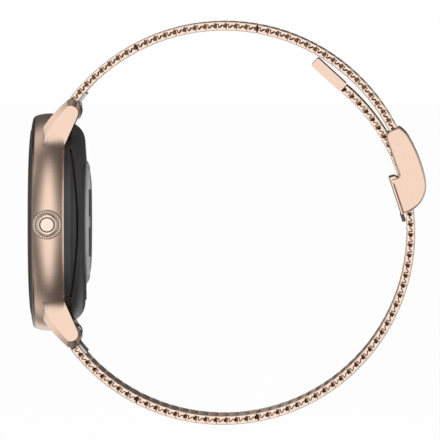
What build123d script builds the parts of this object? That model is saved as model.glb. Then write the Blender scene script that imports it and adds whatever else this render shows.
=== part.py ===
"""Round smartwatch on a milanese band with a sliding clasp.

Frame: +Z points to 12 o'clock, -Y out of the dial, +X to the crown.
The origin is the centre of the sensor window, the face that rests on the wrist.
"""
from build123d import *
from math import asin, atan2, copysign, cos, degrees, radians, sin, sqrt
import os

# ---------------------------------------------------------------- driving dimensions (mm)
CASE_DIAMETER = 40.0
CASE_BACK_Y = -4.72          # back plane of the metal case
CASE_FRONT_Y = -10.2         # shoulder that carries bezel and glass
CASE_WALL = 2.0              # barrel crest to bore
CASE_BULGE_RADIUS = 7.5      # of the barrel's side, seen across its axis
CASE_CREST_Y = -7.65
CASE_EDGE_CHAMFER = 0.3
FLANGE_WIDTH = 2.4           # front flange, inwards from the bore
FLANGE_THICKNESS = 0.6
BEZEL_WIDTH = 3.1            # barrel crest to the glass
BEZEL_RISE = 0.85
GLASS_EDGE_RISE = 0.96       # rim of the glass above the shoulder
GLASS_SHOULDER_RISE = 1.30
GLASS_TOP_RISE = 1.41
GLASS_CURVED_WIDTH = 4.4     # where the glass bends down to its rim
GASKET_THICKNESS = 0.15

LUG_CLEARANCE = 0.15         # band edge to the inner face of a lug
LUG_THICKNESS = 2.75         # inner face to flat outer face
LUG_BLEND_RADIUS = 4.2       # hollow between the lug and the barrel
LUG_BLEND_STEPS = 9          # sections of that hollow along the case's axis
LUG_BEVEL = 0.88
LUG_PLUG_LENGTH = 1.3        # how far the blended root goes on past the flat face
PIVOT_DROP = 1.22            # spring bar axis behind the case's back plane
PIVOT_REACH = 0.4            # and beyond the barrel's crest
BAR_RADIUS = 0.75
BAR_TIP_RADIUS = 0.40
BAR_TIP_LENGTH = 1.2
KNOB_WAY_X = (3.6, 6.2)      # slot for the knob that pulls a tip in
RUNNING_GAP = 0.05

BACK_INSET = 1.75            # barrel crest to the side of the black back
SPIGOT_END_Y = -5.9          # how far the back reaches into the bore
BACK_GROOVE_WIDTH = 0.40
BACK_GROOVE_DEPTH = 0.45
PORT_RADIUS = 0.23
PORT_Z = 16.1
GROOVE_ENDS_Y = -3.62
GROOVE_CREST_Y = -2.3
GROOVE_HALF_SPAN = 13.5
SENSOR_RING_WIDTH = 1.7      # beyond the window
SENSOR_RING_Y = -0.33
WINDOW_RADIUS = 9.5
WINDOW_THICKNESS = 0.6
WINDOW_FLAT_RADIUS = 7.0
SENSOR_HOLE_RADIUS = 4.5
SCREW_INSET = 4.0            # bore to the screws' circle
SCREW_RADIUS = 0.7
SCREW_HEAD_RADIUS = 1.1
SCREW_SEAT_Y = -1.75
CONTACT_RADIUS = 0.9
CONTACT_X = 2.3
CONTACT_INSET = 4.85         # side of the back to the charging contacts

CROWN_Y = -7.73
CROWN_RADIUS = 2.76
CROWN_TOOTH_DEPTH = 0.50
CROWN_TEETH = 48
CROWN_GEAR_LENGTH = 1.15
CROWN_LENGTH = 1.8
CROWN_FACE_RADIUS = 1.97
CROWN_BOSS_RADIUS = 1.18
CROWN_GROOVE_WIDTH = 0.25
CROWN_GROOVE_DEPTH = 0.32
CROWN_TRAVEL = 0.4
STEM_RADIUS = 0.96
TUBE_RADIUS = 1.5

BAND_WIDTH = 20.0
BAND_THICKNESS = 1.66
MESH_PITCH = 1.9             # length of one row of the weave
SCALLOP_DEPTH = 0.25
EYE_CORNERS = ((-0.36, -0.30), (-0.10, -0.34), (0.36, 0.30), (0.10, 0.34))    # (rows, outwards)
LOOP_RADIUS = 34.85          # middle line of the upper strap
STRAP_LIFT = 1.32            # its centre above the crown's height
TAIL_INSET = 0.35            # the lower strap's arc is smaller by this
TAIL_DROP = 1.70             # and its centre is this far below the crown's height
UPPER_START_OFFSET = (0.352, 2.135)    # (y, z) from the spring bar to the mesh
LOWER_START_OFFSET = (0.429, -2.302)
UPPER_FOLD_ANGLES = (117.5, 80.0, 26.9)      # where the stretches end
LOWER_FOLD_ANGLES = (-117.25, -79.4, 50.0)
STRETCH_GAP = 0.2
SLEEVE_RADIUS = 1.7
CAP_LENGTH = 7.2
CAP_THICKNESS = 1.86
CAP_TURN = -2.5              # degrees that the tail cap turns in from the arc

CLASP_ANGLE = 18.4           # where the clasp sits on the lower strap
CLASP_CLEARANCE = 0.2        # band edge to cheek
CLASP_TOP = 8.08             # ends of the cheeks along the strap
CLASP_FOOT = -7.09
CLASP_FOOT_X = -1.2          # where the foot's arc starts
CLASP_FOOT_RADIUS = 5.07
CLASP_BACK_RADIUS = 26.1
CLASP_TOP_RADIUS = 5.08
CLASP_FOOT_TURN = -6.4       # degrees at which the arcs meet
CLASP_BACK_TURN = 12.4
CLASP_WALL = 0.45
COVER_WALL = 0.40
COVER_EDGE_RADIUS = 0.32
HOOK_BAR = (2.3, 3.45)       # (outwards, along) in the clasp's own axes
HOOK_BAR_RADIUS = 0.35
HOOK_SIDE_GAP = 0.5
HOOK_INSET = 2.6             # band edge to the hook's side
LEVER_PIVOT = (-1.8, -1.0)
LEVER_PIN_RADIUS = 0.35
LEVER_WALL = 0.40
LEVER_FACE = -2.47           # face towards the wrist
LEVER_FOOT = -7.2
LEVER_HUB_RADIUS = 0.9
TAB_HALF = 5.0

# ---------------------------------------------------------------- derived values
CASE_RADIUS = CASE_DIAMETER / 2
BORE_RADIUS = CASE_RADIUS - CASE_WALL
SCREW_CIRCLE_RADIUS = BORE_RADIUS - SCREW_INSET
SENSOR_RING_RADIUS = WINDOW_RADIUS + SENSOR_RING_WIDTH
FLANGE_RADIUS = BORE_RADIUS - FLANGE_WIDTH
FLANGE_Y = CASE_FRONT_Y + FLANGE_THICKNESS
GLASS_RADIUS = CASE_RADIUS - BEZEL_WIDTH
GLASS_BASE_Y = CASE_FRONT_Y - GASKET_THICKNESS
GLASS_EDGE_Y = CASE_FRONT_Y - GLASS_EDGE_RISE
GLASS_TOP_Y = CASE_FRONT_Y - GLASS_TOP_RISE
BACK_RADIUS = CASE_RADIUS - BACK_INSET
CONTACT_Z = CONTACT_INSET - BACK_RADIUS
PIVOT_Y = CASE_BACK_Y + PIVOT_DROP
PIVOT_Z = CASE_RADIUS + PIVOT_REACH
HALF_THICKNESS = BAND_THICKNESS / 2
BAND_HALF = BAND_WIDTH / 2
LUG_INNER_HALF = BAND_HALF + LUG_CLEARANCE
LUG_OUTER_HALF = LUG_INNER_HALF + LUG_THICKNESS
CHEEK_INNER = BAND_HALF + CLASP_CLEARANCE
CHEEK_OUTER = CHEEK_INNER + CLASP_WALL
UPPER_RADIUS = LOOP_RADIUS
LOWER_RADIUS = LOOP_RADIUS - TAIL_INSET
UPPER_START = (PIVOT_Y + UPPER_START_OFFSET[0], PIVOT_Z + UPPER_START_OFFSET[1])
LOWER_START = (PIVOT_Y + LOWER_START_OFFSET[0], -PIVOT_Z + LOWER_START_OFFSET[1])
UPPER_START_ANGLE = 180 - degrees(asin((UPPER_START[1] - STRAP_LIFT) / UPPER_RADIUS))
LOWER_START_ANGLE = -180 - degrees(asin((LOWER_START[1] + TAIL_DROP) / LOWER_RADIUS))
UPPER_CENTRE = (UPPER_START[0] - UPPER_RADIUS * cos(radians(UPPER_START_ANGLE)), STRAP_LIFT)
LOWER_CENTRE = (LOWER_START[0] - LOWER_RADIUS * cos(radians(LOWER_START_ANGLE)), -TAIL_DROP)

parts = {}


# ---------------------------------------------------------------- helpers
def turned(points):
    """Solid of revolution about Y from (radius, y) points."""
    return revolve(make_face(Polyline(*points, close=True)), Axis.Y)


def ring(inner, outer, y_low, y_high):
    if inner == 0:
        return turned([(0, y_low), (outer, y_low), (outer, y_high), (0, y_high)])
    return turned([(inner, y_low), (outer, y_low), (outer, y_high), (inner, y_high)])


def rod(radius, x_low, x_high, y, z):
    """Round rod along X."""
    return Pos((x_low + x_high) / 2, y, z) * Rot(0, 90, 0) * Cylinder(radius, x_high - x_low)


def post(radius, y_low, y_high, x, z):
    """Round post along Y."""
    return Pos(x, (y_low + y_high) / 2, z) * Rot(90, 0, 0) * Cylinder(radius, y_high - y_low)


def block(x, y, z):
    """Box from three (low, high) pairs."""
    return Pos((x[0] + x[1]) / 2, (y[0] + y[1]) / 2, (z[0] + z[1]) / 2) * Box(
        x[1] - x[0], y[1] - y[0], z[1] - z[0])


def polar(centre, radius, angle):
    return Vector(0, centre[0] + radius * cos(radians(angle)), centre[1] + radius * sin(radians(angle)))


def arc(centre, radius, start, end):
    return ThreePointArc(*[polar(centre, radius, turn) for turn in (start, (start + end) / 2, end)])


def sector(centre, r_in, r_out, start, end):
    """Face in the YZ plane between two radii and two angles."""
    edges = [
        arc(centre, r_in, start, end),
        Line(polar(centre, r_in, end), polar(centre, r_out, end)),
        arc(centre, r_out, end, start),
        Line(polar(centre, r_out, start), polar(centre, r_in, start)),
    ]
    return Face(Wire(edges))


def disc(radius, y, z):
    return Plane(origin=(0, y, z), x_dir=(0, 1, 0), z_dir=(1, 0, 0)) * Circle(radius)


def dome(rim, top_y):
    """Arc of a sphere centred on Y, from a (radius, y) rim to the pole."""
    height = top_y - rim[1]
    sphere = (rim[0] ** 2 + height ** 2) / (2 * abs(height))
    half = asin(rim[0] / sphere) / 2
    middle = (sphere * sin(half), top_y - copysign(sphere * (1 - cos(half)), height))
    return ThreePointArc(rim, middle, (0, top_y))


def across(face, half_width):
    """Extrude a side face to both sides of the band."""
    return extrude(face, amount=half_width, dir=(1, 0, 0), both=True)


def slab(face, x_low, x_high):
    return extrude(Pos(x_low, 0, 0) * face, amount=x_high - x_low, dir=(1, 0, 0))


def both_sides(face, x_low, x_high):
    return slab(face, x_low, x_high) + slab(face, -x_high, -x_low)


# ---------------------------------------------------------------- case
def barrel_radius(y):
    """Outside radius of the barrel at a height on its axis."""
    return CASE_RADIUS - CASE_BULGE_RADIUS + sqrt(CASE_BULGE_RADIUS ** 2 - (y - CASE_CREST_Y) ** 2)


def lug_profile(bevelled=False):
    """Side view of a 12 o'clock lug; the bevelled one is its flat outer face."""
    if bevelled:
        spots = ((-4.54, -3.99), (-2.7, -1.25), (-0.6, 1.09), (0.72, 0.92), (1.1, -0.8))
    else:
        spots = ((-5.09, -2.65), (-2.55, 0.45), (-0.75, 2.15), (0.75, 2.2), (1.5, 0.2))
    root_front, brow, tip_start, tip, tip_end = [(PIVOT_Y + y, PIVOT_Z + z) for y, z in spots]
    root = (PIVOT_Y - 5.28, PIVOT_Z - 7.2)
    taper = (PIVOT_Y - 5.28, PIVOT_Z - 6.0)
    root_back = (CASE_BACK_Y, PIVOT_Z - 6.0)
    outline = (
        Line(root, taper)
        + Line(taper, root_front)
        + ThreePointArc(root_front, brow, tip_start)
        + ThreePointArc(tip_start, tip, tip_end)
        + Line(tip_end, root_back)
        + Line(root_back, (CASE_BACK_Y, root[1]))
        + Line((CASE_BACK_Y, root[1]), root)
    )
    return make_face(Plane.YZ * outline)


def blend_section(y):
    """What lies outside the lug at one height, its edge tangent to the barrel and to the lug's face."""
    barrel = barrel_radius(max(min(y, CASE_BACK_Y), CASE_FRONT_Y)) - 0.01
    clear = 1.5 * CASE_RADIUS
    blend_x = LUG_OUTER_HALF + LUG_BLEND_RADIUS
    blend_z = sqrt((barrel + LUG_BLEND_RADIUS) ** 2 - blend_x ** 2)
    share = barrel / (barrel + LUG_BLEND_RADIUS)
    turn = atan2(blend_z, blend_x) / 2
    meet = Vector(blend_x * share, y, blend_z * share)
    half_way = Vector(blend_x - LUG_BLEND_RADIUS * cos(turn), y, blend_z - LUG_BLEND_RADIUS * sin(turn))
    flat_start = Vector(LUG_OUTER_HALF, y, blend_z)
    low_turn = atan2(blend_z, blend_x) - radians(6)
    low = Vector(barrel * cos(low_turn), y, barrel * sin(low_turn))
    outside = [Vector(LUG_OUTER_HALF, y, clear), Vector(clear, y, clear), Vector(clear, y, low.Z)]
    corners = [flat_start] + outside + [low, meet]
    sides = [Line(p, q) for p, q in zip(corners, corners[1:])]
    return Face(Wire([ThreePointArc(meet, half_way, flat_start)] + sides))


def lug():
    """One lug at 12 o'clock on the crown side, before the barrel takes its root."""
    bevel_start = LUG_OUTER_HALF - LUG_BEVEL
    flat = lug_profile(bevelled=True)
    bevel = loft([Pos(bevel_start, 0, 0) * lug_profile(), Pos(LUG_OUTER_HALF, 0, 0) * flat], ruled=True)
    plug = slab(flat, LUG_OUTER_HALF, LUG_OUTER_HALF + LUG_PLUG_LENGTH)
    body = slab(lug_profile(), LUG_INNER_HALF, bevel_start) + bevel + plug
    rise = (CASE_BACK_Y - CASE_FRONT_Y) / LUG_BLEND_STEPS
    heights = [CASE_FRONT_Y + rise * step for step in range(round(LUG_BLEND_STEPS) + 1)]
    sections = [blend_section(y) for y in [CASE_FRONT_Y - 0.5] + heights + [0]]
    return body - loft(sections, ruled=True)


def case_body():
    """Bulged barrel with a bore, a front flange, four lugs and the crown's hole."""
    edge_y = CASE_BACK_Y - CASE_EDGE_CHAMFER
    front = (barrel_radius(CASE_FRONT_Y), CASE_FRONT_Y)
    rear = (barrel_radius(edge_y), edge_y)
    chamfer = (rear[0] - CASE_EDGE_CHAMFER, CASE_BACK_Y)
    barrel_profile = make_face(
        Line((0, CASE_FRONT_Y), front)
        + ThreePointArc(front, (CASE_RADIUS, CASE_CREST_Y), rear)
        + Line(rear, chamfer)
        + Line(chamfer, (0, CASE_BACK_Y))
        + Line((0, CASE_BACK_Y), (0, CASE_FRONT_Y))
    )
    body = revolve(barrel_profile, Axis.Y)
    tip_end = LUG_INNER_HALF + BAR_TIP_LENGTH + 0.3
    holder = lug() - rod(BAR_TIP_RADIUS + RUNNING_GAP, 0, tip_end, PIVOT_Y, PIVOT_Z)
    pair = holder + mirror(holder, Plane.YZ)
    body = body + pair + mirror(pair, Plane.XY)
    body -= ring(0, BORE_RADIUS, FLANGE_Y, 5)
    body -= ring(0, FLANGE_RADIUS, CASE_FRONT_Y - 1, 0)
    body -= ring(0, BACK_RADIUS + 0.15, CASE_BACK_Y, 5)
    body -= rod(TUBE_RADIUS, BORE_RADIUS - 1, CASE_RADIUS + 5, CROWN_Y, 0)
    return body


def bezel_ring():
    """Polished ring that falls away from the glass to the barrel."""
    outer = barrel_radius(CASE_FRONT_Y) - 0.03
    inner = GLASS_RADIUS + 0.08
    top = CASE_FRONT_Y - BEZEL_RISE
    brow = (outer - 0.82, CASE_FRONT_Y - 0.67 * BEZEL_RISE)
    side_bend = (outer - 0.25, CASE_FRONT_Y - 0.4 * BEZEL_RISE)
    top_bend = (brow[0] - 0.9, CASE_FRONT_Y - 0.88 * BEZEL_RISE)
    return revolve(make_face(
        Line((inner, CASE_FRONT_Y), (outer, CASE_FRONT_Y))
        + ThreePointArc((outer, CASE_FRONT_Y), side_bend, brow)
        + ThreePointArc(brow, top_bend, (inner, top))
        + Line((inner, top), (inner, CASE_FRONT_Y))), Axis.Y)


def cover_glass():
    """Glass with a flat middle, bent down to its rim."""
    shoulder = (GLASS_RADIUS - GLASS_CURVED_WIDTH, CASE_FRONT_Y - GLASS_SHOULDER_RISE)
    bend = (GLASS_RADIUS - 0.36 * GLASS_CURVED_WIDTH, CASE_FRONT_Y - 0.87 * GLASS_SHOULDER_RISE)
    return revolve(make_face(
        Line((0, GLASS_BASE_Y), (GLASS_RADIUS, GLASS_BASE_Y))
        + Line((GLASS_RADIUS, GLASS_BASE_Y), (GLASS_RADIUS, GLASS_EDGE_Y))
        + ThreePointArc((GLASS_RADIUS, GLASS_EDGE_Y), bend, shoulder)
        + dome(shoulder, GLASS_TOP_Y)
        + Line((0, GLASS_TOP_Y), (0, GLASS_BASE_Y))), Axis.Y)


parts["case_body"] = case_body()
parts["bezel_ring"] = bezel_ring()
parts["glass_gasket"] = ring(FLANGE_RADIUS + 0.2, GLASS_RADIUS, GLASS_BASE_Y, CASE_FRONT_Y)
parts["cover_glass"] = cover_glass()

# ---------------------------------------------------------------- inside the case
PANEL_BACK_Y = -9.2
FRAME_Y = (-9.15, -8.75)
FRAME_GAP = 0.1
FRAME_RIM = 0.9
FRAME_RIM_END_Y = -6.3
FRAME_WINDOW_X = (-8, 8)
FRAME_WINDOW_Z = (-10, 10)
BOARD_BACK_Y = FRAME_Y[1] + 0.6
SHIELD_BACK_Y = BOARD_BACK_Y + 0.8
BATTERY_BACK_Y = -3.6
BATTERY_INSET = 8.2          # bore to the cell's size, clear of the screw posts
BATTERY_Z = -3.8
MOTOR_RADIUS = 4.0
MOTOR_INSET = 7             # bore to the motor's centre
BACK_FLOOR_Y = -2.3
SENSOR_BOARD_Y = BACK_FLOOR_Y - 0.6
SCREW_SPOTS = [(SCREW_CIRCLE_RADIUS * sx * sin(radians(45)), SCREW_CIRCLE_RADIUS * sz * sin(radians(45)))
               for sx in (-1, 1) for sz in (-1, 1)]
CROWN_NOTCH = block((CASE_RADIUS - 7.1, CASE_RADIUS + 5), (CASE_FRONT_Y, CROWN_Y + 2.2), (-3.2, 3.2))

parts["display_panel"] = ring(0, FLANGE_RADIUS - 0.2, GLASS_BASE_Y, PANEL_BACK_Y)


def mid_frame():
    """Plate with a window, a rim against the bore and four posts for the screws."""
    rim = BORE_RADIUS - FRAME_GAP
    body = ring(0, rim, *FRAME_Y) + ring(rim - FRAME_RIM, rim, FLANGE_Y, FRAME_RIM_END_Y)
    body -= block(FRAME_WINDOW_X, (CASE_FRONT_Y, FRAME_Y[1] + 1), FRAME_WINDOW_Z)
    for x, z in SCREW_SPOTS:
        body += post(SCREW_RADIUS * 2, FRAME_Y[1], BACK_FLOOR_Y - 0.15, x, z)
    for x, z in SCREW_SPOTS:
        body -= post(SCREW_RADIUS, FRAME_Y[1] + 2.0, 0, x, z)
    return body - CROWN_NOTCH


def mainboard():
    body = ring(0, BORE_RADIUS - 2.8, FRAME_Y[1], BOARD_BACK_Y) - CROWN_NOTCH
    for x, z in SCREW_SPOTS:
        body -= post(SCREW_RADIUS * 2 + 0.1, CASE_FRONT_Y, 0, x, z)
    return body


parts["mid_frame"] = mid_frame()
parts["mainboard"] = mainboard()
parts["board_shields"] = Compound([
    block((-7.5, -0.5), (BOARD_BACK_Y, SHIELD_BACK_Y), (-9, 0)),
    block((0.8, 6.8), (BOARD_BACK_Y, SHIELD_BACK_Y), (-8, -2)),
    block((0.8, 5.8), (BOARD_BACK_Y, SHIELD_BACK_Y), (0, 4)),
])
parts["battery"] = post(BORE_RADIUS - BATTERY_INSET, SHIELD_BACK_Y, BATTERY_BACK_Y, 0, BATTERY_Z)
parts["battery_pad"] = post(6.0, BATTERY_BACK_Y, SENSOR_BOARD_Y, 0, 0)
parts["vibration_motor"] = post(MOTOR_RADIUS, BOARD_BACK_Y, BOARD_BACK_Y + 2.7, 0, BORE_RADIUS - MOTOR_INSET)
parts["case_gasket"] = ring(BORE_RADIUS - 0.4, BORE_RADIUS, CASE_BACK_Y - 0.8, CASE_BACK_Y - 0.25)


# ---------------------------------------------------------------- back
def back_outline(inset=0.0):
    """Half section of the dished cover and its spigot, its rounded side moved in by inset."""
    shoulder = (BACK_RADIUS - inset, -3.5)
    corner = (BACK_RADIUS - 1.02 - 0.7 * inset, -2.02 - 0.7 * inset)
    rim = (BACK_RADIUS - 3.35, -1.15 - inset)
    land = (SENSOR_RING_RADIUS + 0.3, -0.9 - inset)
    spigot = BORE_RADIUS - 0.4
    wall = BORE_RADIUS - 1.1
    inside = [(0, land[1]), (0, BACK_FLOOR_Y), (BORE_RADIUS - 3.4, BACK_FLOOR_Y),
              (BORE_RADIUS - 1.6, -3.1), (wall, -4.2), (wall, SPIGOT_END_Y)]
    outside = [(spigot, SPIGOT_END_Y), (spigot, CASE_BACK_Y), (BACK_RADIUS - inset, CASE_BACK_Y)]
    spots = [land] + inside + outside + [shoulder]
    sides = [Line(p, q) for p, q in zip(spots, spots[1:])]
    return make_face(Wire(sides + [ThreePointArc(shoulder, corner, rim), Line(rim, land)]))


def side_groove():
    """Curved groove round the crown side of the cover; it rises towards the middle."""
    outer, inner = [], []
    for share, y in ((-1, GROOVE_ENDS_Y), (0, GROOVE_CREST_Y), (1, GROOVE_ENDS_Y)):
        outer.append((y + BACK_GROOVE_WIDTH / 2, share * GROOVE_HALF_SPAN))
        inner.append((y - BACK_GROOVE_WIDTH / 2, share * GROOVE_HALF_SPAN))
    face = make_face(Plane.YZ * (
        ThreePointArc(*outer)
        + Line(outer[2], inner[2])
        + ThreePointArc(*reversed(inner))
        + Line(inner[0], outer[0])))
    deep = both_sides(face, BACK_RADIUS / 3, BACK_RADIUS + 1)
    return deep - revolve(back_outline(BACK_GROOVE_DEPTH), Axis.Y)


def back_cover():
    """Black dished cover with a spigot that enters the case."""
    body = revolve(back_outline(), Axis.Y) - side_groove()
    body -= post(SENSOR_HOLE_RADIUS, -10, 5, 0, 0)
    for x, z in SCREW_SPOTS:
        body -= post(SCREW_RADIUS + 0.1, -10, 5, x, z)
        body -= post(SCREW_HEAD_RADIUS + 0.1, SCREW_SEAT_Y, 5, x, z)
    for x in (-CONTACT_X, CONTACT_X):
        body -= post(CONTACT_RADIUS, -10, 5, x, CONTACT_Z)
    for z in (-PORT_Z, PORT_Z):
        depth = sqrt(BACK_RADIUS ** 2 - z ** 2)
        body -= rod(PORT_RADIUS, depth - 0.8, depth + 3, CASE_BACK_Y + 1.3, z)
    return body


def back_screw(x, z):
    """Slotted screw, its head sunk into the cover."""
    head_y = SCREW_SEAT_Y + 0.45
    shank = post(SCREW_RADIUS, -6.0, SCREW_SEAT_Y, x, z)
    head = post(SCREW_HEAD_RADIUS, SCREW_SEAT_Y, head_y, x, z)
    slot = block((x - 0.75, x + 0.75), (head_y - 0.25, head_y + 0.3), (z - 0.13, z + 0.13))
    return shank + head - slot


def contact(x):
    return post(CONTACT_RADIUS, BACK_FLOOR_Y, -0.95, x, CONTACT_Z)


parts["back_cover"] = back_cover()
parts["back_screws"] = Compound([back_screw(x, z) for x, z in SCREW_SPOTS])
parts["charging_contacts"] = Compound([contact(x) for x in (-CONTACT_X, CONTACT_X)])
parts["sensor_board"] = ring(0, 8.0, SENSOR_BOARD_Y, BACK_FLOOR_Y)
parts["sensor_chips"] = Compound([
    block((-1.2, 1.2), (BACK_FLOOR_Y, -1.5), (-0.8, 0.8)),
    block((-1.3, 1.3), (BACK_FLOOR_Y, -1.5), (1.6, 3.6)),
    block((-1.3, 1.3), (BACK_FLOOR_Y, -1.5), (-3.6, -1.6)),
])
parts["sensor_ring"] = turned([
    (SENSOR_HOLE_RADIUS, -0.9), (SENSOR_RING_RADIUS, -0.9), (SENSOR_RING_RADIUS, -0.7),
    (SENSOR_RING_RADIUS - 0.8, SENSOR_RING_Y), (WINDOW_RADIUS, SENSOR_RING_Y),
    (WINDOW_RADIUS, -WINDOW_THICKNESS), (SENSOR_HOLE_RADIUS, -WINDOW_THICKNESS)])
window_rim = (WINDOW_RADIUS, -0.28)
window_bend = ((WINDOW_FLAT_RADIUS + WINDOW_RADIUS) / 2, -0.07)
parts["sensor_window"] = revolve(make_face(
    Line((0, 0), (WINDOW_FLAT_RADIUS, 0))
    + ThreePointArc((WINDOW_FLAT_RADIUS, 0), window_bend, window_rim)
    + Line(window_rim, (WINDOW_RADIUS, -WINDOW_THICKNESS))
    + Line((WINDOW_RADIUS, -WINDOW_THICKNESS), (0, -WINDOW_THICKNESS))
    + Line((0, -WINDOW_THICKNESS), (0, 0))), Axis.Y)

# ---------------------------------------------------------------- crown
HEAD_X = CASE_RADIUS + CROWN_TRAVEL + 0.2        # underside of the crown at rest
TIP_X = HEAD_X + CROWN_LENGTH
STEM_TIP_X = CASE_RADIUS - 4.8
FLANGE_X = CASE_RADIUS - 3.1
SEAL_X = CASE_RADIUS - 1.4
TUBE_X = (CASE_RADIUS - 2.4, CASE_RADIUS + 0.45)


def about_crown(points):
    """Solid of revolution about the crown's axis from (x, radius) points."""
    face = make_face(Polyline(*points, close=True))
    return Pos(0, CROWN_Y, 0) * revolve(face, Axis.X)


def crown_head():
    """Teeth on a cone, a raised rounded face and a groove round its boss."""
    root = CROWN_RADIUS - CROWN_TOOTH_DEPTH
    gear_x = HEAD_X + CROWN_GEAR_LENGTH
    ledge_x = gear_x - 0.3
    star = []
    for half_tooth in range(2 * round(CROWN_TEETH)):
        radius = root if half_tooth % 2 else CROWN_RADIUS
        turn = radians(180 / CROWN_TEETH * half_tooth)
        star.append((radius * cos(turn), radius * sin(turn)))
    teeth = Pos(HEAD_X, CROWN_Y, 0) * extrude(
        Plane.YZ * make_face(Polyline(*star, close=True)), amount=CROWN_GEAR_LENGTH, dir=(1, 0, 0))
    teeth &= about_crown([(HEAD_X, root - 0.05), (HEAD_X, CROWN_RADIUS), (gear_x - 0.3, CROWN_RADIUS),
                          (gear_x, CROWN_RADIUS - 0.2), (gear_x, root - 0.05)])
    cone = about_crown([(HEAD_X, 0), (HEAD_X, CROWN_RADIUS - 0.06), (HEAD_X + 0.25, CROWN_RADIUS - 0.06),
                        (gear_x - 0.15, root), (ledge_x, root - 0.15), (ledge_x, 0)])
    rim = CROWN_FACE_RADIUS
    groove = CROWN_BOSS_RADIUS + CROWN_GROOVE_WIDTH
    face = Pos(0, CROWN_Y, 0) * revolve(make_face(
        Line((ledge_x, 0), (ledge_x, rim + 0.05))
        + Line((ledge_x, rim + 0.05), (TIP_X - 0.45, rim))
        + ThreePointArc((TIP_X - 0.45, rim), (TIP_X - 0.12, rim - 0.12), (TIP_X - 0.02, rim - 0.4))
        + Line((TIP_X - 0.02, rim - 0.4), (TIP_X - 0.05, groove))
        + Line((TIP_X - 0.05, groove), (TIP_X - CROWN_GROOVE_DEPTH, CROWN_BOSS_RADIUS + 0.08))
        + Line((TIP_X - CROWN_GROOVE_DEPTH, CROWN_BOSS_RADIUS + 0.08), (TIP_X, CROWN_BOSS_RADIUS))
        + Line((TIP_X, CROWN_BOSS_RADIUS), (TIP_X, 0))
        + Line((TIP_X, 0), (ledge_x, 0))), Axis.X)
    skirt = rod(TUBE_RADIUS + 0.15, HEAD_X - 1, HEAD_X + 0.55, CROWN_Y, 0)
    socket = rod(STEM_RADIUS, HEAD_X - 1, HEAD_X + 1.1, CROWN_Y, 0)
    return cone + teeth + face - skirt - socket


parts["crown_tube"] = about_crown([(TUBE_X[0], STEM_RADIUS + 0.04), (TUBE_X[0], TUBE_RADIUS),
                                   (TUBE_X[1], TUBE_RADIUS), (TUBE_X[1], STEM_RADIUS + 0.04)])
parts["crown_stem"] = about_crown([
    (STEM_TIP_X, 0), (STEM_TIP_X, STEM_RADIUS), (FLANGE_X, STEM_RADIUS), (FLANGE_X, 1.3),
    (FLANGE_X + 0.6, 1.3), (FLANGE_X + 0.6, STEM_RADIUS), (SEAL_X, STEM_RADIUS), (SEAL_X, 0.62),
    (SEAL_X + 0.5, 0.62), (SEAL_X + 0.5, STEM_RADIUS), (HEAD_X + 1.1, STEM_RADIUS), (HEAD_X + 1.1, 0)])
parts["crown_seal"] = about_crown([(SEAL_X + 0.05, 0.62), (SEAL_X + 0.05, 0.9), (SEAL_X + 0.15, 0.98),
                                   (SEAL_X + 0.35, 0.98), (SEAL_X + 0.45, 0.9), (SEAL_X + 0.45, 0.62)])
parts["crown_head"] = crown_head()
parts["crown_encoder"] = about_crown([(STEM_TIP_X + 0.4, STEM_RADIUS + 0.04), (STEM_TIP_X + 0.4, 1.35),
                                      (STEM_TIP_X + 1.1, 1.35), (STEM_TIP_X + 1.1, STEM_RADIUS + 0.04)])
bracket_x = STEM_TIP_X - 1.5
bracket_foot = block((bracket_x - 2.2, bracket_x), (BOARD_BACK_Y, BOARD_BACK_Y + 0.3), (-2, 2))
bracket_wall = block((bracket_x - 0.4, bracket_x), (FRAME_Y[0] + 0.05, BOARD_BACK_Y + 1.2), (-2, 2))
switch_box = block((bracket_x, bracket_x + 0.65), (FRAME_Y[0] + 0.05, CROWN_Y + 1.1), (-1.6, 1.6))
switch_plunger = rod(0.7, bracket_x + 0.6, STEM_TIP_X - CROWN_TRAVEL - 0.05, CROWN_Y, 0)
parts["crown_bracket"] = bracket_foot + bracket_wall
parts["crown_switch"] = switch_box + switch_plunger


# ---------------------------------------------------------------- band
def mesh_stretch(centre, radius, start, end, lean):
    """Woven stretch: scalloped faces, one open slanted eye through each row."""
    rows = max(2, round(radians(abs(end - start)) * radius / MESH_PITCH))
    trim = degrees(STRETCH_GAP / 2 / radius) * (1 if end > start else -1)
    first, last = start + trim, end - trim
    step = (last - first) / rows
    valley, crest = HALF_THICKNESS - SCALLOP_DEPTH, HALF_THICKNESS
    scallops, eyes = [], []
    for row in range(rows):
        start, middle, end = [first + step * (row + share) for share in (0, 0.5, 1)]
        for side in (-1, 1):
            top = polar(centre, radius + side * crest, middle)
            foot = [polar(centre, radius + side * valley, turn) for turn in (start, end)]
            scallops.append(ThreePointArc(foot[0], top, foot[1]))
        corners = []
        for share, height in EYE_CORNERS:
            corners.append(polar(centre, radius + height, middle + lean * step * share))
        eyes.append(Wire(Polyline(*corners, close=True).edges()))
    low, high = radius - valley, radius + valley
    ends = [Line(polar(centre, low, turn), polar(centre, high, turn)) for turn in (first, last)]
    face = Face(Wire(scallops + ends), eyes)
    return across(face, BAND_HALF)


def strap(names, centre, radius, start, folds, lean):
    """The stretches of one strap, root to end."""
    for name, end in zip(names, folds):
        parts[name] = mesh_stretch(centre, radius, start, end, lean)
        start = end


strap(["upper_mesh_root", "upper_mesh_middle", "upper_mesh_end"], UPPER_CENTRE, UPPER_RADIUS,
      UPPER_START_ANGLE, UPPER_FOLD_ANGLES, 1)
strap(["lower_mesh_root", "lower_mesh_middle", "lower_mesh_tail"], LOWER_CENTRE, LOWER_RADIUS,
      LOWER_START_ANGLE, LOWER_FOLD_ANGLES, -1)
UPPER_END, LOWER_END = UPPER_FOLD_ANGLES[-1], LOWER_FOLD_ANGLES[-1]


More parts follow.
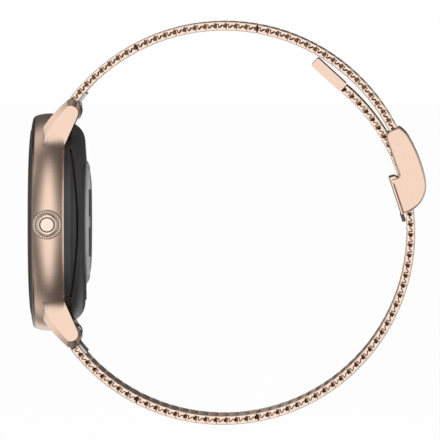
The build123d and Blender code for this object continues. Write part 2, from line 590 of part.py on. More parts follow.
def end_sleeve(centre, radius, mesh_angle, side):
    """Rolled end piece round a spring bar; side is 1 for 12 o'clock."""
    y, z = PIVOT_Y, side * PIVOT_Z
    start = mesh_angle + side * degrees(STRETCH_GAP / 2 / radius)
    pivot_angle = degrees(atan2(z - centre[1], y - centre[0]))
    lip_end = start - side * 4.2
    inner = radius - HALF_THICKNESS - 0.02
    roll = across(disc(SLEEVE_RADIUS, y, z), BAND_HALF)
    neck_end = start - side * degrees(0.1 / radius)
    neck = across(sector(centre, radius - 1.15, radius + 0.5, pivot_angle, neck_end), BAND_HALF)
    lip = across(sector(centre, inner - 0.35, inner, start + side * 0.5, lip_end), BAND_HALF - 1.0)
    body = roll + neck + lip
    body -= across(disc(BAR_RADIUS, y, z), BAND_HALF + 1)
    knob_way = block(KNOB_WAY_X, (0, SLEEVE_RADIUS + 1), (-0.55, 0.55))
    return body - Pos(0, y, z) * Rot(-side * 35, 0, 0) * knob_way


def spring_bar(side):
    y, z = PIVOT_Y, side * PIVOT_Z
    end = BAND_HALF - 0.05
    bore = BAR_TIP_RADIUS + RUNNING_GAP
    fixed_tip = rod(BAR_TIP_RADIUS, -LUG_INNER_HALF - BAR_TIP_LENGTH, -end, y, z)
    bar = rod(BAR_RADIUS, -end, end, y, z) + fixed_tip
    bar -= rod(bore, 1.5, end + 1, y, z)
    knob_way = block(KNOB_WAY_X, (0, BAR_RADIUS + 1), (-bore, bore))
    return bar - Pos(0, y, z) * Rot(-side * 35, 0, 0) * knob_way


def release_pin(side):
    y, z = PIVOT_Y, side * PIVOT_Z
    pin = rod(BAR_TIP_RADIUS, KNOB_WAY_X[0] - 0.4, LUG_INNER_HALF + BAR_TIP_LENGTH, y, z)
    stalk = Pos(0, y, z) * Rot(-side * 35, 0, 0) * block(
        (KNOB_WAY_X[1] - 1.0, KNOB_WAY_X[1] - 0.2), (0, SLEEVE_RADIUS + 0.25), (-0.35, 0.35))
    return pin + stalk


for label, side, centre, radius, mesh_angle in (
        ("upper", 1, UPPER_CENTRE, UPPER_RADIUS, UPPER_START_ANGLE),
        ("lower", -1, LOWER_CENTRE, LOWER_RADIUS, LOWER_START_ANGLE)):
    parts[label + "_end_sleeve"] = end_sleeve(centre, radius, mesh_angle, side)
    parts[label + "_spring_bar"] = spring_bar(side)
    parts[label + "_release_pin"] = release_pin(side)


def tail_cap():
    root = polar(LOWER_CENTRE, LOWER_RADIUS, LOWER_END)
    heading = LOWER_END + 90 + CAP_TURN
    body = Box(BAND_WIDTH + 0.1, CAP_LENGTH, CAP_THICKNESS)
    body = fillet(body.edges().filter_by(Axis.X), 0.3)
    along = Pos(0, CAP_LENGTH / 2 + 0.1, 0) * body
    return Pos(0, root.Y, root.Z) * Rot(heading, 0, 0) * along


parts["tail_cap"] = tail_cap()

# ---------------------------------------------------------------- clasp, in its own axes
# local x points outwards from the strap's middle line, local y along the strap towards 12 o'clock
seat = polar(LOWER_CENTRE, LOWER_RADIUS, CLASP_ANGLE)
outwards = (0, cos(radians(CLASP_ANGLE)), sin(radians(CLASP_ANGLE)))
CLASP = Plane(origin=seat, x_dir=outwards, z_dir=(1, 0, 0))


def clasp_prism(spots, half_width):
    """Prism across the band from corners in the clasp's own axes."""
    return across(CLASP * make_face(Polyline(*spots, close=True)), half_width)


def clasp_plate(x, y, half_width):
    """Flat plate across the band from (low, high) pairs in the clasp's own axes."""
    return clasp_prism(((x[0], y[0]), (x[0], y[1]), (x[1], y[1]), (x[1], y[0])), half_width)


def clasp_back(inset):
    """Three tangent arcs from the clasp's foot up to its rounded top."""
    edges = []
    start = -90.0
    centre = Vector(CLASP_FOOT_X, CLASP_FOOT + CLASP_FOOT_RADIUS)
    joint = centre
    for radius, end in (
            (CLASP_FOOT_RADIUS, CLASP_FOOT_TURN),
            (CLASP_BACK_RADIUS, CLASP_BACK_TURN),
            (CLASP_TOP_RADIUS, None)):
        if edges:
            centre = joint - radius * Vector(cos(radians(start)), sin(radians(start)))
        if end is None:
            end = degrees(asin((CLASP_TOP - inset - centre.Y) / (radius - inset)))
        turns = [radians(turn) for turn in (start, (start + end) / 2, end)]
        rays = [Vector(cos(turn), sin(turn)) for turn in turns]
        edges.append(ThreePointArc(*[centre + (radius - inset) * ray for ray in rays]))
        joint = centre + radius * rays[2]
        start = end
    return edges


def clasp_outline(inset=0.0):
    """Cheek outline: rounded top, long curved back, lobe with a straight inner edge, notch."""
    lobe = LEVER_FACE + LEVER_WALL + RUNNING_GAP
    back = clasp_back(inset)
    foot = CLASP_FOOT + inset
    top = CLASP_TOP - inset
    return make_face(Wire(back + [
        Line(back[0] @ 0, (lobe, foot)),
        Line((lobe, foot), (lobe, -0.55)),
        Line((lobe, -0.55), (-0.98, -0.55)),
        ThreePointArc((-0.98, -0.55), (-0.62, -0.40), (-0.47, 0.0)),
        Line((-0.47, 0.0), (-0.62, 6.7)),
        ThreePointArc((-0.62, 6.7), (-0.2, 7.62), (0.8, top)),
        Line((0.8, top), back[-1] @ 1),
    ]))


def clasp_shell():
    """Cover with two cheeks, open towards the wrist and at both ends."""
    outside = across(CLASP * clasp_outline(), CHEEK_OUTER)
    rims = [edge for edge in outside.edges() if abs(abs(edge.center().X) - CHEEK_OUTER) < 0.001]
    outside = fillet(rims, COVER_EDGE_RADIUS)
    cavity = across(CLASP * clasp_outline(COVER_WALL), CHEEK_INNER)
    way_corners = (-9, 12), (1.9, 12), (1.9, 2), (0.75, -3), (0.75, -12), (-9, -12)
    band_way = clasp_prism(way_corners, CHEEK_INNER)
    shell = outside - cavity - band_way
    pivot = CLASP.from_local_coords(Vector(*LEVER_PIVOT, 0))
    return shell - rod(LEVER_PIN_RADIUS, -BAND_WIDTH, BAND_WIDTH, pivot.Y, pivot.Z)


parts["clasp_shell"] = clasp_shell()
HOOK_HALF = BAND_HALF - HOOK_INSET
hook_blade = clasp_plate((0.95, 1.35), (-6.9, 4.2), HOOK_HALF)
hook_lip = clasp_plate((1.35, 1.80), (3.8, 4.2), HOOK_HALF)
hook = hook_blade + hook_lip
parts["clasp_hook"] = (hook - parts["clasp_shell"]).solids().sort_by(SortBy.VOLUME)[-1]

bar_spot = CLASP.from_local_coords(Vector(*HOOK_BAR, 0))


def end_frame():
    """Crimp on the upper strap's end, two arms and the bar that the hook holds."""
    start = UPPER_END + degrees(STRETCH_GAP / 2 / UPPER_RADIUS)
    half = BAND_HALF - 0.2
    crimp_face = sector(UPPER_CENTRE, UPPER_RADIUS - 0.62, UPPER_RADIUS + 0.62, start, UPPER_END - 0.6)
    arm_from = CLASP.to_local_coords(polar(UPPER_CENTRE, UPPER_RADIUS, UPPER_END - 0.4))
    run = Vector(*HOOK_BAR, 0) - Vector(arm_from.X, arm_from.Y, 0)
    side = Vector(run.Y, -run.X, 0).normalized() * 0.3
    a, b = Vector(arm_from.X, arm_from.Y, 0), Vector(*HOOK_BAR, 0)
    arm_face = CLASP * make_face(Polyline(a + side, b + side, b - side, a - side, close=True))
    arms = both_sides(arm_face, HOOK_HALF + HOOK_SIDE_GAP, half)
    bar = rod(HOOK_BAR_RADIUS, -half, half, bar_spot.Y, bar_spot.Z)
    return across(crimp_face, half) + arms + bar


parts["upper_end_frame"] = end_frame()


def clasp_lever():
    """Flap over the open side of the clasp, with its hub and finger tab."""
    inner = LEVER_FACE + LEVER_WALL
    neck_half = CHEEK_INNER - 0.1
    plate = clasp_plate((LEVER_FACE, inner), (LEVER_FOOT, -1.3), CHEEK_OUTER)
    neck = clasp_plate((LEVER_FACE, inner), (-1.4, -0.1), neck_half)
    neck += clasp_plate((inner, -1.55), (-0.5, -0.1), neck_half)
    tab = clasp_plate((LEVER_FACE - 0.19, inner + 0.05), (LEVER_FOOT - 1.5, LEVER_FOOT), TAB_HALF)
    pivot = Vector(*LEVER_PIVOT, 0)
    hub = across(CLASP * Pos(*LEVER_PIVOT, 0) * Circle(LEVER_HUB_RADIUS), neck_half)
    clip = clasp_plate((LEVER_FACE, 0), (-2.5, -0.1), CHEEK_OUTER)
    lever = plate + neck + tab + (hub & clip)
    spot = CLASP.from_local_coords(pivot)
    return lever - rod(LEVER_PIN_RADIUS + RUNNING_GAP, -BAND_WIDTH, BAND_WIDTH, spot.Y, spot.Z)


parts["clasp_lever"] = clasp_lever()
pivot_spot = CLASP.from_local_coords(Vector(*LEVER_PIVOT, 0))
parts["lever_pin"] = rod(LEVER_PIN_RADIUS, -CHEEK_OUTER, CHEEK_OUTER, pivot_spot.Y, pivot_spot.Z)

# ---------------------------------------------------------------- write
os.makedirs("parts", exist_ok=True)
for name, shape in parts.items():
    export_step(shape if isinstance(shape, Compound) else Compound([shape]), f"parts/{name}.step")
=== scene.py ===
"""Studio scene for the round smartwatch: finishes on the CAD nodes, woven wire band, light and camera."""

import math

import bmesh
import bpy
import numpy as np
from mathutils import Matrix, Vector


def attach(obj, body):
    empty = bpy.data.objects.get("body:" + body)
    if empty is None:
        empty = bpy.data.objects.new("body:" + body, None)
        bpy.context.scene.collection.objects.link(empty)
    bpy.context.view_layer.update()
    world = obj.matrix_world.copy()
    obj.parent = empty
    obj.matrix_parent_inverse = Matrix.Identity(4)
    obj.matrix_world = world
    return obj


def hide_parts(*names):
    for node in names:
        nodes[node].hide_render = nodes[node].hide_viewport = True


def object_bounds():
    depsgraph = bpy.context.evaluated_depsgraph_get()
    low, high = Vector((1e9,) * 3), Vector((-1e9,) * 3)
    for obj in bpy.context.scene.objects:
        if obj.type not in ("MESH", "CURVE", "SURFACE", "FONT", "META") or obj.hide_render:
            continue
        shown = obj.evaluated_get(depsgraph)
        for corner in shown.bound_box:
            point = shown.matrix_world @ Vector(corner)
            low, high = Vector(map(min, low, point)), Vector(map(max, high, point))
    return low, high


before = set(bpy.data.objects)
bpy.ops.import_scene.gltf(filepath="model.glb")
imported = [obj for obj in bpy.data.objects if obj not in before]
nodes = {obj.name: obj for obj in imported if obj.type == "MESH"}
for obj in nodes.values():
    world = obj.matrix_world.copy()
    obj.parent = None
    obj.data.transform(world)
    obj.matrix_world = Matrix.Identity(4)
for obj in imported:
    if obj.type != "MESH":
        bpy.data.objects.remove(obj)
CAD_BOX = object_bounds()

MM = 0.001

# ------------------------------------------------------------------ camera
AIM = Vector((0, 23.66, 0.37)) * MM
AZIMUTH = math.radians(90.6)
ELEVATION = math.radians(1.35)
DISTANCE = 2.93
VIEW_WIDTH = 0.0810
SENSOR_WIDTH = 36

to_camera = Vector((math.sin(AZIMUTH) * math.cos(ELEVATION),
                    -math.cos(AZIMUTH) * math.cos(ELEVATION),
                    math.sin(ELEVATION)))
camera_data = bpy.data.cameras.new("camera")
camera_data.sensor_width = SENSOR_WIDTH
camera_data.lens = SENSOR_WIDTH * DISTANCE / VIEW_WIDTH
camera_data.clip_end = 20
camera = bpy.data.objects.new("camera", camera_data)
camera.location = AIM + to_camera * DISTANCE
camera.rotation_mode = "QUATERNION"
camera.rotation_quaternion = (-to_camera).to_track_quat("-Z", "Y")
bpy.context.scene.collection.objects.link(camera)
bpy.context.scene.camera = camera

# ------------------------------------------------------------------ shader helpers
IN_MILLIMETRES = (1000, 1000, 1000)


class Value:
    """A socket that can be used in arithmetic; each operator adds a Math node."""

    def __init__(self, finish, socket):
        self.finish = finish
        self.socket = socket

    def maths(self, operation, *values):
        return self.finish.node("ShaderNodeMath", {"operation": operation}, dict(enumerate(values)))

    def __add__(self, other):
        return self.maths("ADD", self, other)

    __radd__ = __add__

    def __sub__(self, other):
        return self.maths("SUBTRACT", self, other)

    def __rsub__(self, other):
        return self.maths("SUBTRACT", other, self)

    def __mul__(self, other):
        return self.maths("MULTIPLY", self, other)

    __rmul__ = __mul__

    def __truediv__(self, other):
        return self.maths("DIVIDE", self, other)

    def __rtruediv__(self, other):
        return self.maths("DIVIDE", other, self)

    def __pow__(self, other):
        return self.maths("POWER", self, other)

    def __abs__(self):
        return self.maths("ABSOLUTE", self)

    def above(self, edge, width):
        """0 below edge, 1 above it, smooth over width."""
        return self.finish.node("ShaderNodeMapRange", {"interpolation_type": "SMOOTHSTEP"},
                                {0: self, 1: edge - width / 2, 2: edge + width / 2, 3: 0.0, 4: 1.0})


class Finish:
    """One node tree, a material's or the world's."""

    def __init__(self, holder):
        holder.use_nodes = True
        self.holder = holder
        self.tree = holder.node_tree
        self.tree.nodes.clear()

    def node(self, kind, settings=None, inputs=None, output=0):
        """Add a node: its settings come first, then the values or links of its sockets."""
        made = self.tree.nodes.new(kind)
        for name, value in (settings or {}).items():
            setattr(made, name, value)
        for name, value in (inputs or {}).items():
            if isinstance(value, Value):
                self.tree.links.new(value.socket, made.inputs[name])
            else:
                made.inputs[name].default_value = value
        return Value(self, made.outputs[output]) if made.outputs else made

    def place(self, scale=IN_MILLIMETRES, centre=(0, 0, 0)):
        """Object coordinates in millimetres, or stretched by another scale."""
        coords = self.node("ShaderNodeTexCoord", output="Object")
        location = [-c * s * MM for c, s in zip(centre, scale)]
        return self.node("ShaderNodeMapping", {}, {"Vector": coords, "Location": location, "Scale": scale})

    def axes(self, vector):
        return [self.node("ShaderNodeSeparateXYZ", {}, {0: vector}, output=i) for i in range(3)]

    def noise(self, vector, scale, detail=2.0):
        return self.node("ShaderNodeTexNoise", {}, {"Vector": vector, "Scale": scale, "Detail": detail})

    def mix(self, factor, first, second):
        """Mix two colours, plain or linked."""
        def full(colour):
            return colour if isinstance(colour, Value) else (*colour, 1)
        return self.node("ShaderNodeMix", {"data_type": "RGBA"},
                         {0: factor, 6: full(first), 7: full(second)}, output=2)

    def bump(self, height, distance):
        return self.node("ShaderNodeBump", {}, {"Height": height, "Distance": distance})

    def face_normal(self, radius, edge, fade=1.0):
        """Each face's own normal inside the edge, where faces are long, and the smooth one outside."""
        own = self.node("ShaderNodeNewGeometry", output="True Normal")
        smooth = self.node("ShaderNodeNewGeometry", output="Normal")
        return self.mix(radius.above(edge, fade), own, smooth)

    def surface(self, **sockets):
        """Close the tree with a surface whose sockets are named as keywords."""
        inputs = {}
        for name, value in sockets.items():
            inputs[name.replace("_", " ").title().replace("Ior", "IOR")] = value
        base = inputs.get("Base Color")
        if base is not None and not isinstance(base, Value):
            inputs["Base Color"] = (*base, 1)
        shader = self.node("ShaderNodeBsdfPrincipled", {}, inputs)
        self.node("ShaderNodeOutputMaterial", {}, {"Surface": shader})
        return self.holder


def finish(name):
    return Finish(bpy.data.materials.new(name))


def varied(middle, texture, spread):
    """A number that a texture moves up and down round its middle."""
    return middle - spread / 2 + texture * spread


# ------------------------------------------------------------------ sizes shared by finishes and weave
UPPER_CENTRE = (24.5, 1.32)
UPPER_RADIUS = 34.85
LOWER_CENTRE = (24.3, -1.70)
LOWER_RADIUS = 34.5
SCREEN_EDGE = 14.3
PRINTED_RIM = 16.0

# ------------------------------------------------------------------ finishes
ROSE = (0.93, 0.70, 0.565)
ROSE_DEEP = (0.87, 0.62, 0.49)
# Painted shade for the low side of the bezel ring.
ROSE_PAINTED_SHADE = (0.30, 0.22, 0.175)
STEEL = (0.60, 0.58, 0.56)
STEEL_DEEP = (0.50, 0.49, 0.48)
WIRE_PALE = (0.99, 0.80, 0.67)
WIRE_DEEP = (0.93, 0.71, 0.58)
# Painted shade for the wire inside the band: brown, and black deeper in.
WIRE_RECESS_SHADE = (0.20, 0.105, 0.062)
WIRE_CORE_SHADE = (0.030, 0.012, 0.004)

BRUSHED_ALONG_X = (600, 14000, 14000)


def turned_metal(name, colour, deep, roughness):
    """Satin metal with fine lines turned about the case axis."""
    line_density = 9.0
    lines_round = 1.6
    line_depth = 1.5e-6
    f = finish(name)
    x, y, z = f.axes(f.place())
    radius = (x * x + z * z) ** 0.5
    turn = z.maths("ARCTAN2", z, x)
    lines = f.node("ShaderNodeCombineXYZ", {},
                   {0: radius * line_density, 1: y * line_density, 2: turn * lines_round})
    brushed = f.noise(lines, scale=1.0, detail=3.0)
    cloud = f.noise(f.place(), scale=0.35, detail=1.0)
    return f.surface(base_color=f.mix(brushed * 0.5 + cloud * 0.5, deep, colour), metallic=1.0,
                     roughness=varied(roughness, brushed, 0.10), normal=f.bump(brushed, line_depth))


def brushed_metal(name, colour, deep, roughness):
    """Satin metal brushed along X."""
    line_depth = 1.2e-6
    f = finish(name)
    streaks = f.noise(f.place(BRUSHED_ALONG_X), scale=1.0, detail=3.0)
    return f.surface(base_color=f.mix(streaks, deep, colour), metallic=1.0,
                     roughness=varied(roughness, streaks, 0.10), normal=f.bump(streaks, line_depth))


def polished_metal(name, colour, deep, roughness):
    """Polished metal with faint smears."""
    f = finish(name)
    smear = f.noise(f.place(), scale=0.8, detail=3.0)
    return f.surface(base_color=f.mix(smear, deep, colour), metallic=1.0, roughness=roughness + smear * 0.06)


def bezel_metal(name):
    """Polished metal with painted shade low on the side, where the ring stands in its seam."""
    shade_level = -10.86
    shade_fade = 0.12
    f = finish(name)
    _, y, _ = f.axes(f.place())
    smear = f.noise(f.place(), scale=0.8, detail=3.0)
    rose = f.mix(smear, ROSE_DEEP, ROSE)
    # Painted shade: on the part of the side nearer the barrel the colour is mixed towards dark rose.
    return f.surface(base_color=f.mix(y.above(shade_level, shade_fade), rose, ROSE_PAINTED_SHADE), metallic=1.0,
                     roughness=0.10 + smear * 0.06)


def woven_wire(name, centre, radius):
    """Rolled wire: pale where it is cut flush at the edge, with painted shade inside the band: brown in the
    recesses and black deeper in, behind the edge plates.
    """
    outer_skin = 0.64
    flush_face = 9.90
    recess_floor = 9.66
    core_end = 8.4
    f = finish(name)
    x, y, z = f.axes(f.place())
    streaks = f.noise(f.place((900, 5000, 5000)), scale=1.0)
    across = abs(x)
    reach = ((y - centre[0]) ** 2.0 + (z - centre[1]) ** 2.0) ** 0.5
    inside = 1.0 - abs(reach - radius).above(outer_skin, 0.12)
    # Painted shade: wire inside the band is mixed towards brown, and towards black deeper in from the edge.
    recess_shade = inside * (1.0 - across.above(flush_face, 0.06))
    core_shade = inside * (1.0 - across.above(recess_floor, 0.10)) * across.above(core_end, 0.8)
    colour = f.mix(streaks, WIRE_DEEP, WIRE_PALE)
    colour = f.mix(recess_shade, colour, WIRE_RECESS_SHADE)
    colour = f.mix(core_shade, colour, WIRE_CORE_SHADE)
    return f.surface(base_color=colour, metallic=1.0, roughness=0.24 + streaks * 0.08 + recess_shade * 0.2)


def moulded(name, colour, roughness):
    """Moulded polymer with a fine spark-eroded grain."""
    grain_depth = 4e-6
    f = finish(name)
    texture = f.noise(f.place(), scale=9.0, detail=3.0)
    cloud = f.noise(f.place(), scale=0.15)
    light = tuple(min(1.0, c * 1.25 + 0.002) for c in colour)
    return f.surface(base_color=f.mix(cloud, colour, light), roughness=varied(roughness, texture, 0.08),
                     normal=f.bump(texture, grain_depth))


def rubber(name):
    """Matt black seal."""
    f = finish(name)
    texture = f.noise(f.place(), scale=14.0)
    return f.surface(base_color=f.mix(texture, (0.016, 0.016, 0.017), (0.030, 0.030, 0.031)),
                     roughness=0.62 + texture * 0.1)


def cover_black(name):
    """Cover glass over a screen that is off: printed rim and border, with the screen a shade lighter."""
    long_faces_end = 11.0
    f = finish(name)
    x, _, z = f.axes(f.place())
    radius = (x * x + z * z) ** 0.5
    haze = f.noise(f.place(), scale=0.2)
    rim = radius.above(PRINTED_RIM, 0.3)
    screen = f.mix(radius.above(SCREEN_EDGE, 0.1), (0.011, 0.011, 0.014), (0.004, 0.004, 0.005))
    colour = f.mix(rim, screen, (0.02, 0.019, 0.018))
    return f.surface(base_color=colour, roughness=0.04 + haze * 0.03 + rim * 0.06,
                     normal=f.face_normal(radius, long_faces_end), ior=1.5)


def crown_metal(name, centre_y):
    """Polished crown with painted shade in the gaps between its teeth, on the step round its face and in the
    sunk ring round the boss.
    """
    teeth = 48.0
    tooth_root = 2.2
    ledge_inner, ledge_outer = 1.97, 2.22
    groove_inner, groove_outer = 1.18, 1.42
    f = finish(name)
    _, y, z = f.axes(f.place(centre=(0, centre_y, 0)))
    radius = (y * y + z * z) ** 0.5
    turn = z.maths("ARCTAN2", z, y) * teeth
    gap_shade = (0.0 - turn.maths("COSINE", turn)).above(0.2, 0.4) * radius.above(tooth_root, 0.05)
    ledge_shade = radius.above(ledge_inner, 0.04) * (1.0 - radius.above(ledge_outer, 0.05))
    groove_shade = radius.above(groove_inner, 0.05) * (1.0 - radius.above(groove_outer, 0.04))
    smear = f.noise(f.place(), scale=0.8, detail=3.0)
    colour = f.mix(smear, (0.90, 0.71, 0.59), (0.96, 0.79, 0.67))
    # Painted shade: the tooth gaps, the step and the sunk ring are mixed towards near-black brown.
    colour = f.mix(groove_shade * 0.4 + ledge_shade * 0.5 + gap_shade, colour, (0.035, 0.020, 0.012))
    return f.surface(base_color=colour, metallic=1.0, roughness=0.16 + smear * 0.06)


def display_black(name):
    """Display switched off: black with a faint grid and a printed border."""
    f = finish(name)
    x, _, z = f.axes(f.place())
    radius = (x * x + z * z) ** 0.5
    grid = f.node("ShaderNodeTexVoronoi", {}, {"Vector": f.place(), "Scale": 10.0})
    screen = f.mix(grid, (0.006, 0.006, 0.008), (0.012, 0.012, 0.015))
    border = radius.above(SCREEN_EDGE, 0.1)
    return f.surface(base_color=f.mix(border, screen, (0.003, 0.003, 0.003)),
                     roughness=0.12 + border * 0.1, ior=1.45)


def circuit_green(name):
    """Green board under its lacquer, with paler tracks."""
    f = finish(name)
    rows = f.node("ShaderNodeTexBrick", {"offset": 0.5},
                  {"Vector": f.place(), "Scale": 0.7, "Mortar Size": 0.03})
    tracks = f.noise(f.place(), scale=2.2).above(0.55, 0.05)
    return f.surface(base_color=f.mix(tracks, (0.008, 0.065, 0.035), (0.02, 0.13, 0.07)),
                     roughness=0.35 + rows * 0.05, coat_weight=0.5)


def sensor_white(name):
    """Translucent white moulding that carries the window."""
    f = finish(name)
    cloud = f.noise(f.place(), scale=0.6)
    return f.surface(base_color=f.mix(cloud, (0.40, 0.40, 0.40), (0.46, 0.46, 0.46)),
                     roughness=0.22 + cloud * 0.06, coat_weight=0.6, coat_roughness=0.08)


def window_glass(name):
    """Sensor window: white light guides at both ends, dark filter between, grey cell across the middle."""
    guides_start = 6.2
    cell_middle, cell_half_height, cell_start = 0.2, 1.0, 7.2
    eye_radius = 1.9
    lamp_offset, lamp_radius = 4.0, 0.9
    f = finish(name)
    x, _, z = f.axes(f.place())
    radius = (x * x + z * z) ** 0.5
    ends = abs(z).above(guides_start, 0.15)
    across = 1.0 - abs(z - cell_middle).above(cell_half_height, 0.15)
    eye = 1.0 - radius.above(eye_radius, 0.1)
    lamps = 1.0 - (((abs(z) - lamp_offset) ** 2.0 + x * x) ** 0.5).above(lamp_radius, 0.1)
    dark = f.mix(lamps, (0.016, 0.017, 0.020), (0.10, 0.16, 0.12))
    dark = f.mix(across * radius.above(cell_start, 0.1), dark, (0.40, 0.41, 0.42))
    dark = f.mix(eye, dark, (0.045, 0.045, 0.050))
    return f.surface(base_color=f.mix(ends, dark, (0.95, 0.95, 0.95)),
                     roughness=0.06 + ends * 0.1, coat_weight=1.0, coat_roughness=0.03)


def hinged_flap(name, seat, lean):
    """Rose flap painted dark as shade, its sides left rose apart from the finger tab below it."""
    side_depth = -2.32
    tab_start = -7.2
    side_face = 9.6
    f = finish(name)
    x, y, z = f.axes(f.place(centre=(0, *seat)))
    out = y * math.cos(lean) + z * math.sin(lean)
    along = z * math.cos(lean) - y * math.sin(lean)
    side = out.above(side_depth, 0.04) * along.above(tab_start, 0.04) * abs(x).above(side_face, 0.1)
    streaks = f.noise(f.place(BRUSHED_ALONG_X), scale=1.0, detail=3.0)
    # Painted shade: all but the sides is a dark brown in place of rose.
    dark = f.mix(streaks, (0.12, 0.09, 0.075), (0.16, 0.125, 0.105))
    return f.surface(base_color=f.mix(side, dark, ROSE), metallic=1.0, roughness=0.26 + streaks * 0.08)


def rolled_sleeve(name, pivot):
    """Rolled steel sleeve painted dark as shade; its lip along the band stays bright steel."""
    lip_start = 2.5
    f = finish(name)
    _, y, z = f.axes(f.place())
    streaks = f.noise(f.place(BRUSHED_ALONG_X), scale=1.0, detail=3.0)
    lip = (((y - pivot[0]) ** 2.0 + (abs(z) - pivot[1]) ** 2.0) ** 0.5).above(lip_start, 0.3)
    # Painted shade: the sleeve away from its lip is a dark brown-grey in place of steel.
    dark = f.mix(streaks, (0.17, 0.135, 0.115), (0.22, 0.18, 0.155))
    return f.surface(base_color=f.mix(lip, dark, (0.62, 0.62, 0.62)), metallic=1.0,
                     roughness=0.26 + streaks * 0.08)


SPRING_BAR = (-3.5, 20.4)
FLAP_SEAT = (57.036, 9.190)
FLAP_LEAN = math.radians(18.4)
CROWN_Y = -7.73

satin = turned_metal("rose_satin_turned", ROSE, ROSE_DEEP, 0.26)
satin_brushed = brushed_metal("rose_satin_brushed", ROSE, ROSE_DEEP, 0.28)
polished = bezel_metal("rose_polished")
upper_wire = woven_wire("upper_rose_wire", UPPER_CENTRE, UPPER_RADIUS)
lower_wire = woven_wire("lower_rose_wire", LOWER_CENTRE, LOWER_RADIUS)
crown_rose = crown_metal("crown_rose", CROWN_Y)
sleeve = rolled_sleeve("sleeve_steel", SPRING_BAR)
lever_painted_shade = hinged_flap("lever_painted_shade", FLAP_SEAT, FLAP_LEAN)
steel = polished_metal("pin_steel", STEEL, STEEL_DEEP, 0.18)
black = moulded("black_back", (0.022, 0.022, 0.023), 0.30)
frame_black = moulded("inner_frame", (0.030, 0.030, 0.034), 0.5)
seal = rubber("seal_rubber")
glass = cover_black("front_glass")
screen = display_black("display_black")
board = circuit_green("circuit_board")
cell = brushed_metal("cell_foil", (0.62, 0.62, 0.64), (0.50, 0.50, 0.52), 0.4)
guide = sensor_white("sensor_white")
window = window_glass("sensor_window")
contact = polished_metal("contact_nickel", (0.10, 0.095, 0.09), (0.07, 0.066, 0.062), 0.22)

CAD_FINISHES = {
    satin: ["case_body"],
    satin_brushed: ["tail_cap", "clasp_shell", "lever_pin"],
    polished: ["bezel_ring"],
    crown_rose: ["crown_head"],
    upper_wire: ["upper_mesh_root", "upper_mesh_middle", "upper_mesh_end"],
    lower_wire: ["lower_mesh_root", "lower_mesh_middle", "lower_mesh_tail"],
    sleeve: ["upper_end_sleeve", "lower_end_sleeve"],
    lever_painted_shade: ["clasp_lever"],
    steel: ["upper_spring_bar", "lower_spring_bar", "upper_release_pin", "lower_release_pin",
            "crown_tube", "crown_stem", "clasp_hook", "upper_end_frame", "back_screws"],
    black: ["back_cover"],
    frame_black: ["mid_frame", "crown_switch", "crown_encoder", "sensor_chips"],
    seal: ["glass_gasket", "case_gasket", "crown_seal", "battery_pad"],
    glass: ["cover_glass"],
    screen: ["display_panel"],
    board: ["mainboard", "sensor_board"],
    cell: ["battery", "board_shields", "vibration_motor", "crown_bracket"],
    guide: ["sensor_ring"],
    window: ["sensor_window"],
    contact: ["charging_contacts"],
}
for material, names in CAD_FINISHES.items():
    for name in names:
        mesh = nodes[name].data
        mesh.materials.clear()
        mesh.materials.append(material)


# ------------------------------------------------------------------ pieces
def piece(name, mesh, material, body):
    """Link a finished mesh as a piece that rides on a body."""
    mesh.materials.append(material)
    made = bpy.data.objects.new(name, mesh)
    bpy.context.scene.collection.objects.link(made)
    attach(made, body)
    return made


# ------------------------------------------------------------------ woven band
HALF_WIDTH = 10.0
HALF_THICKNESS = 0.83
ROW_PITCH = 1.9
STRETCH_GAP = 0.2
LUG_ANGLE = 142.5
WIRE_LEAN = 0.35
UPPER_EYE = 0.06
LOWER_EYE = 0.02
WIDE_EYE = 0.05
SHARP_ANGLE = math.radians(40)

WIRE_TURNS = 27
WIRE_STEPS = 10
WIRE_SIDES = 6
WIRE_RADIUS = 0.25
WIRE_PITCH = 2 * HALF_WIDTH / WIRE_TURNS
WIRE_STRETCH = 1.15
LOOP_REACH = 1.18
LOOP_SQUARENESS = 0.75
ROLLED_FLAT = 0.03

EDGE_PLATE = 0.42
PLATE_THICKNESS = 0.4
PLATE_BEVEL = 0.12
RIM_DEPTH = 0.06
# Sheets behind the edge plates stand for the inner wires; the wire finish gives them painted shade.
RECESS_DEPTH, RECESS_THICKNESS = 0.17, 0.2
CORE_DEPTH, CORE_THICKNESS = 0.75, 0.1
TOUCHING = 1e-4


def fuller(value):
    """A sine or cosine whose loop has fuller corners."""
    return math.copysign(abs(value) ** LOOP_SQUARENESS, value)


def wire_row(shift, lean):
    """One flattened spiral of wire in band millimetres: x across, y along the strap, z outwards."""
    bm = bmesh.new()
    bmesh.ops.create_circle(bm, segments=WIRE_SIDES, radius=WIRE_RADIUS)
    bmesh.ops.scale(bm, vec=(WIRE_STRETCH, 1, 1), verts=bm.verts)
    bmesh.ops.translate(bm, vec=(-HALF_WIDTH - WIRE_PITCH + shift, 1, 0), verts=bm.verts)
    turns = WIRE_TURNS + 2
    bmesh.ops.spin(bm, geom=bm.verts[:] + bm.edges[:], cent=(0, 0, 0), axis=(1, 0, 0),
                   angle=math.tau * turns, steps=WIRE_STEPS * turns, dvec=(WIRE_PITCH / WIRE_STEPS, 0, 0))
    for side in (-1, 1):
        edge = side * (HALF_WIDTH - EDGE_PLATE)
        bmesh.ops.bisect_plane(bm, geom=bm.verts[:] + bm.edges[:] + bm.faces[:], plane_co=(edge, 0, 0),
                               plane_no=(side, 0, 0), clear_outer=True)
        cut_ends = [e for e in bm.edges if e.is_boundary and abs(e.verts[0].co.x - edge) < TOUCHING]
        bmesh.ops.holes_fill(bm, edges=cut_ends)
    skin = HALF_THICKNESS - ROLLED_FLAT
    for vert in bm.verts:
        turn = math.atan2(vert.co.z, vert.co.y)
        offset = math.hypot(vert.co.y, vert.co.z) - 1
        along = fuller(math.cos(turn)) * (LOOP_REACH + offset)
        out = fuller(math.sin(turn)) * (HALF_THICKNESS - WIRE_RADIUS + offset)
        out = max(-skin, min(skin, out))
        vert.co.y = along + lean * out
        vert.co.z = out
    bmesh.ops.recalc_face_normals(bm, faces=bm.faces)
    return bm


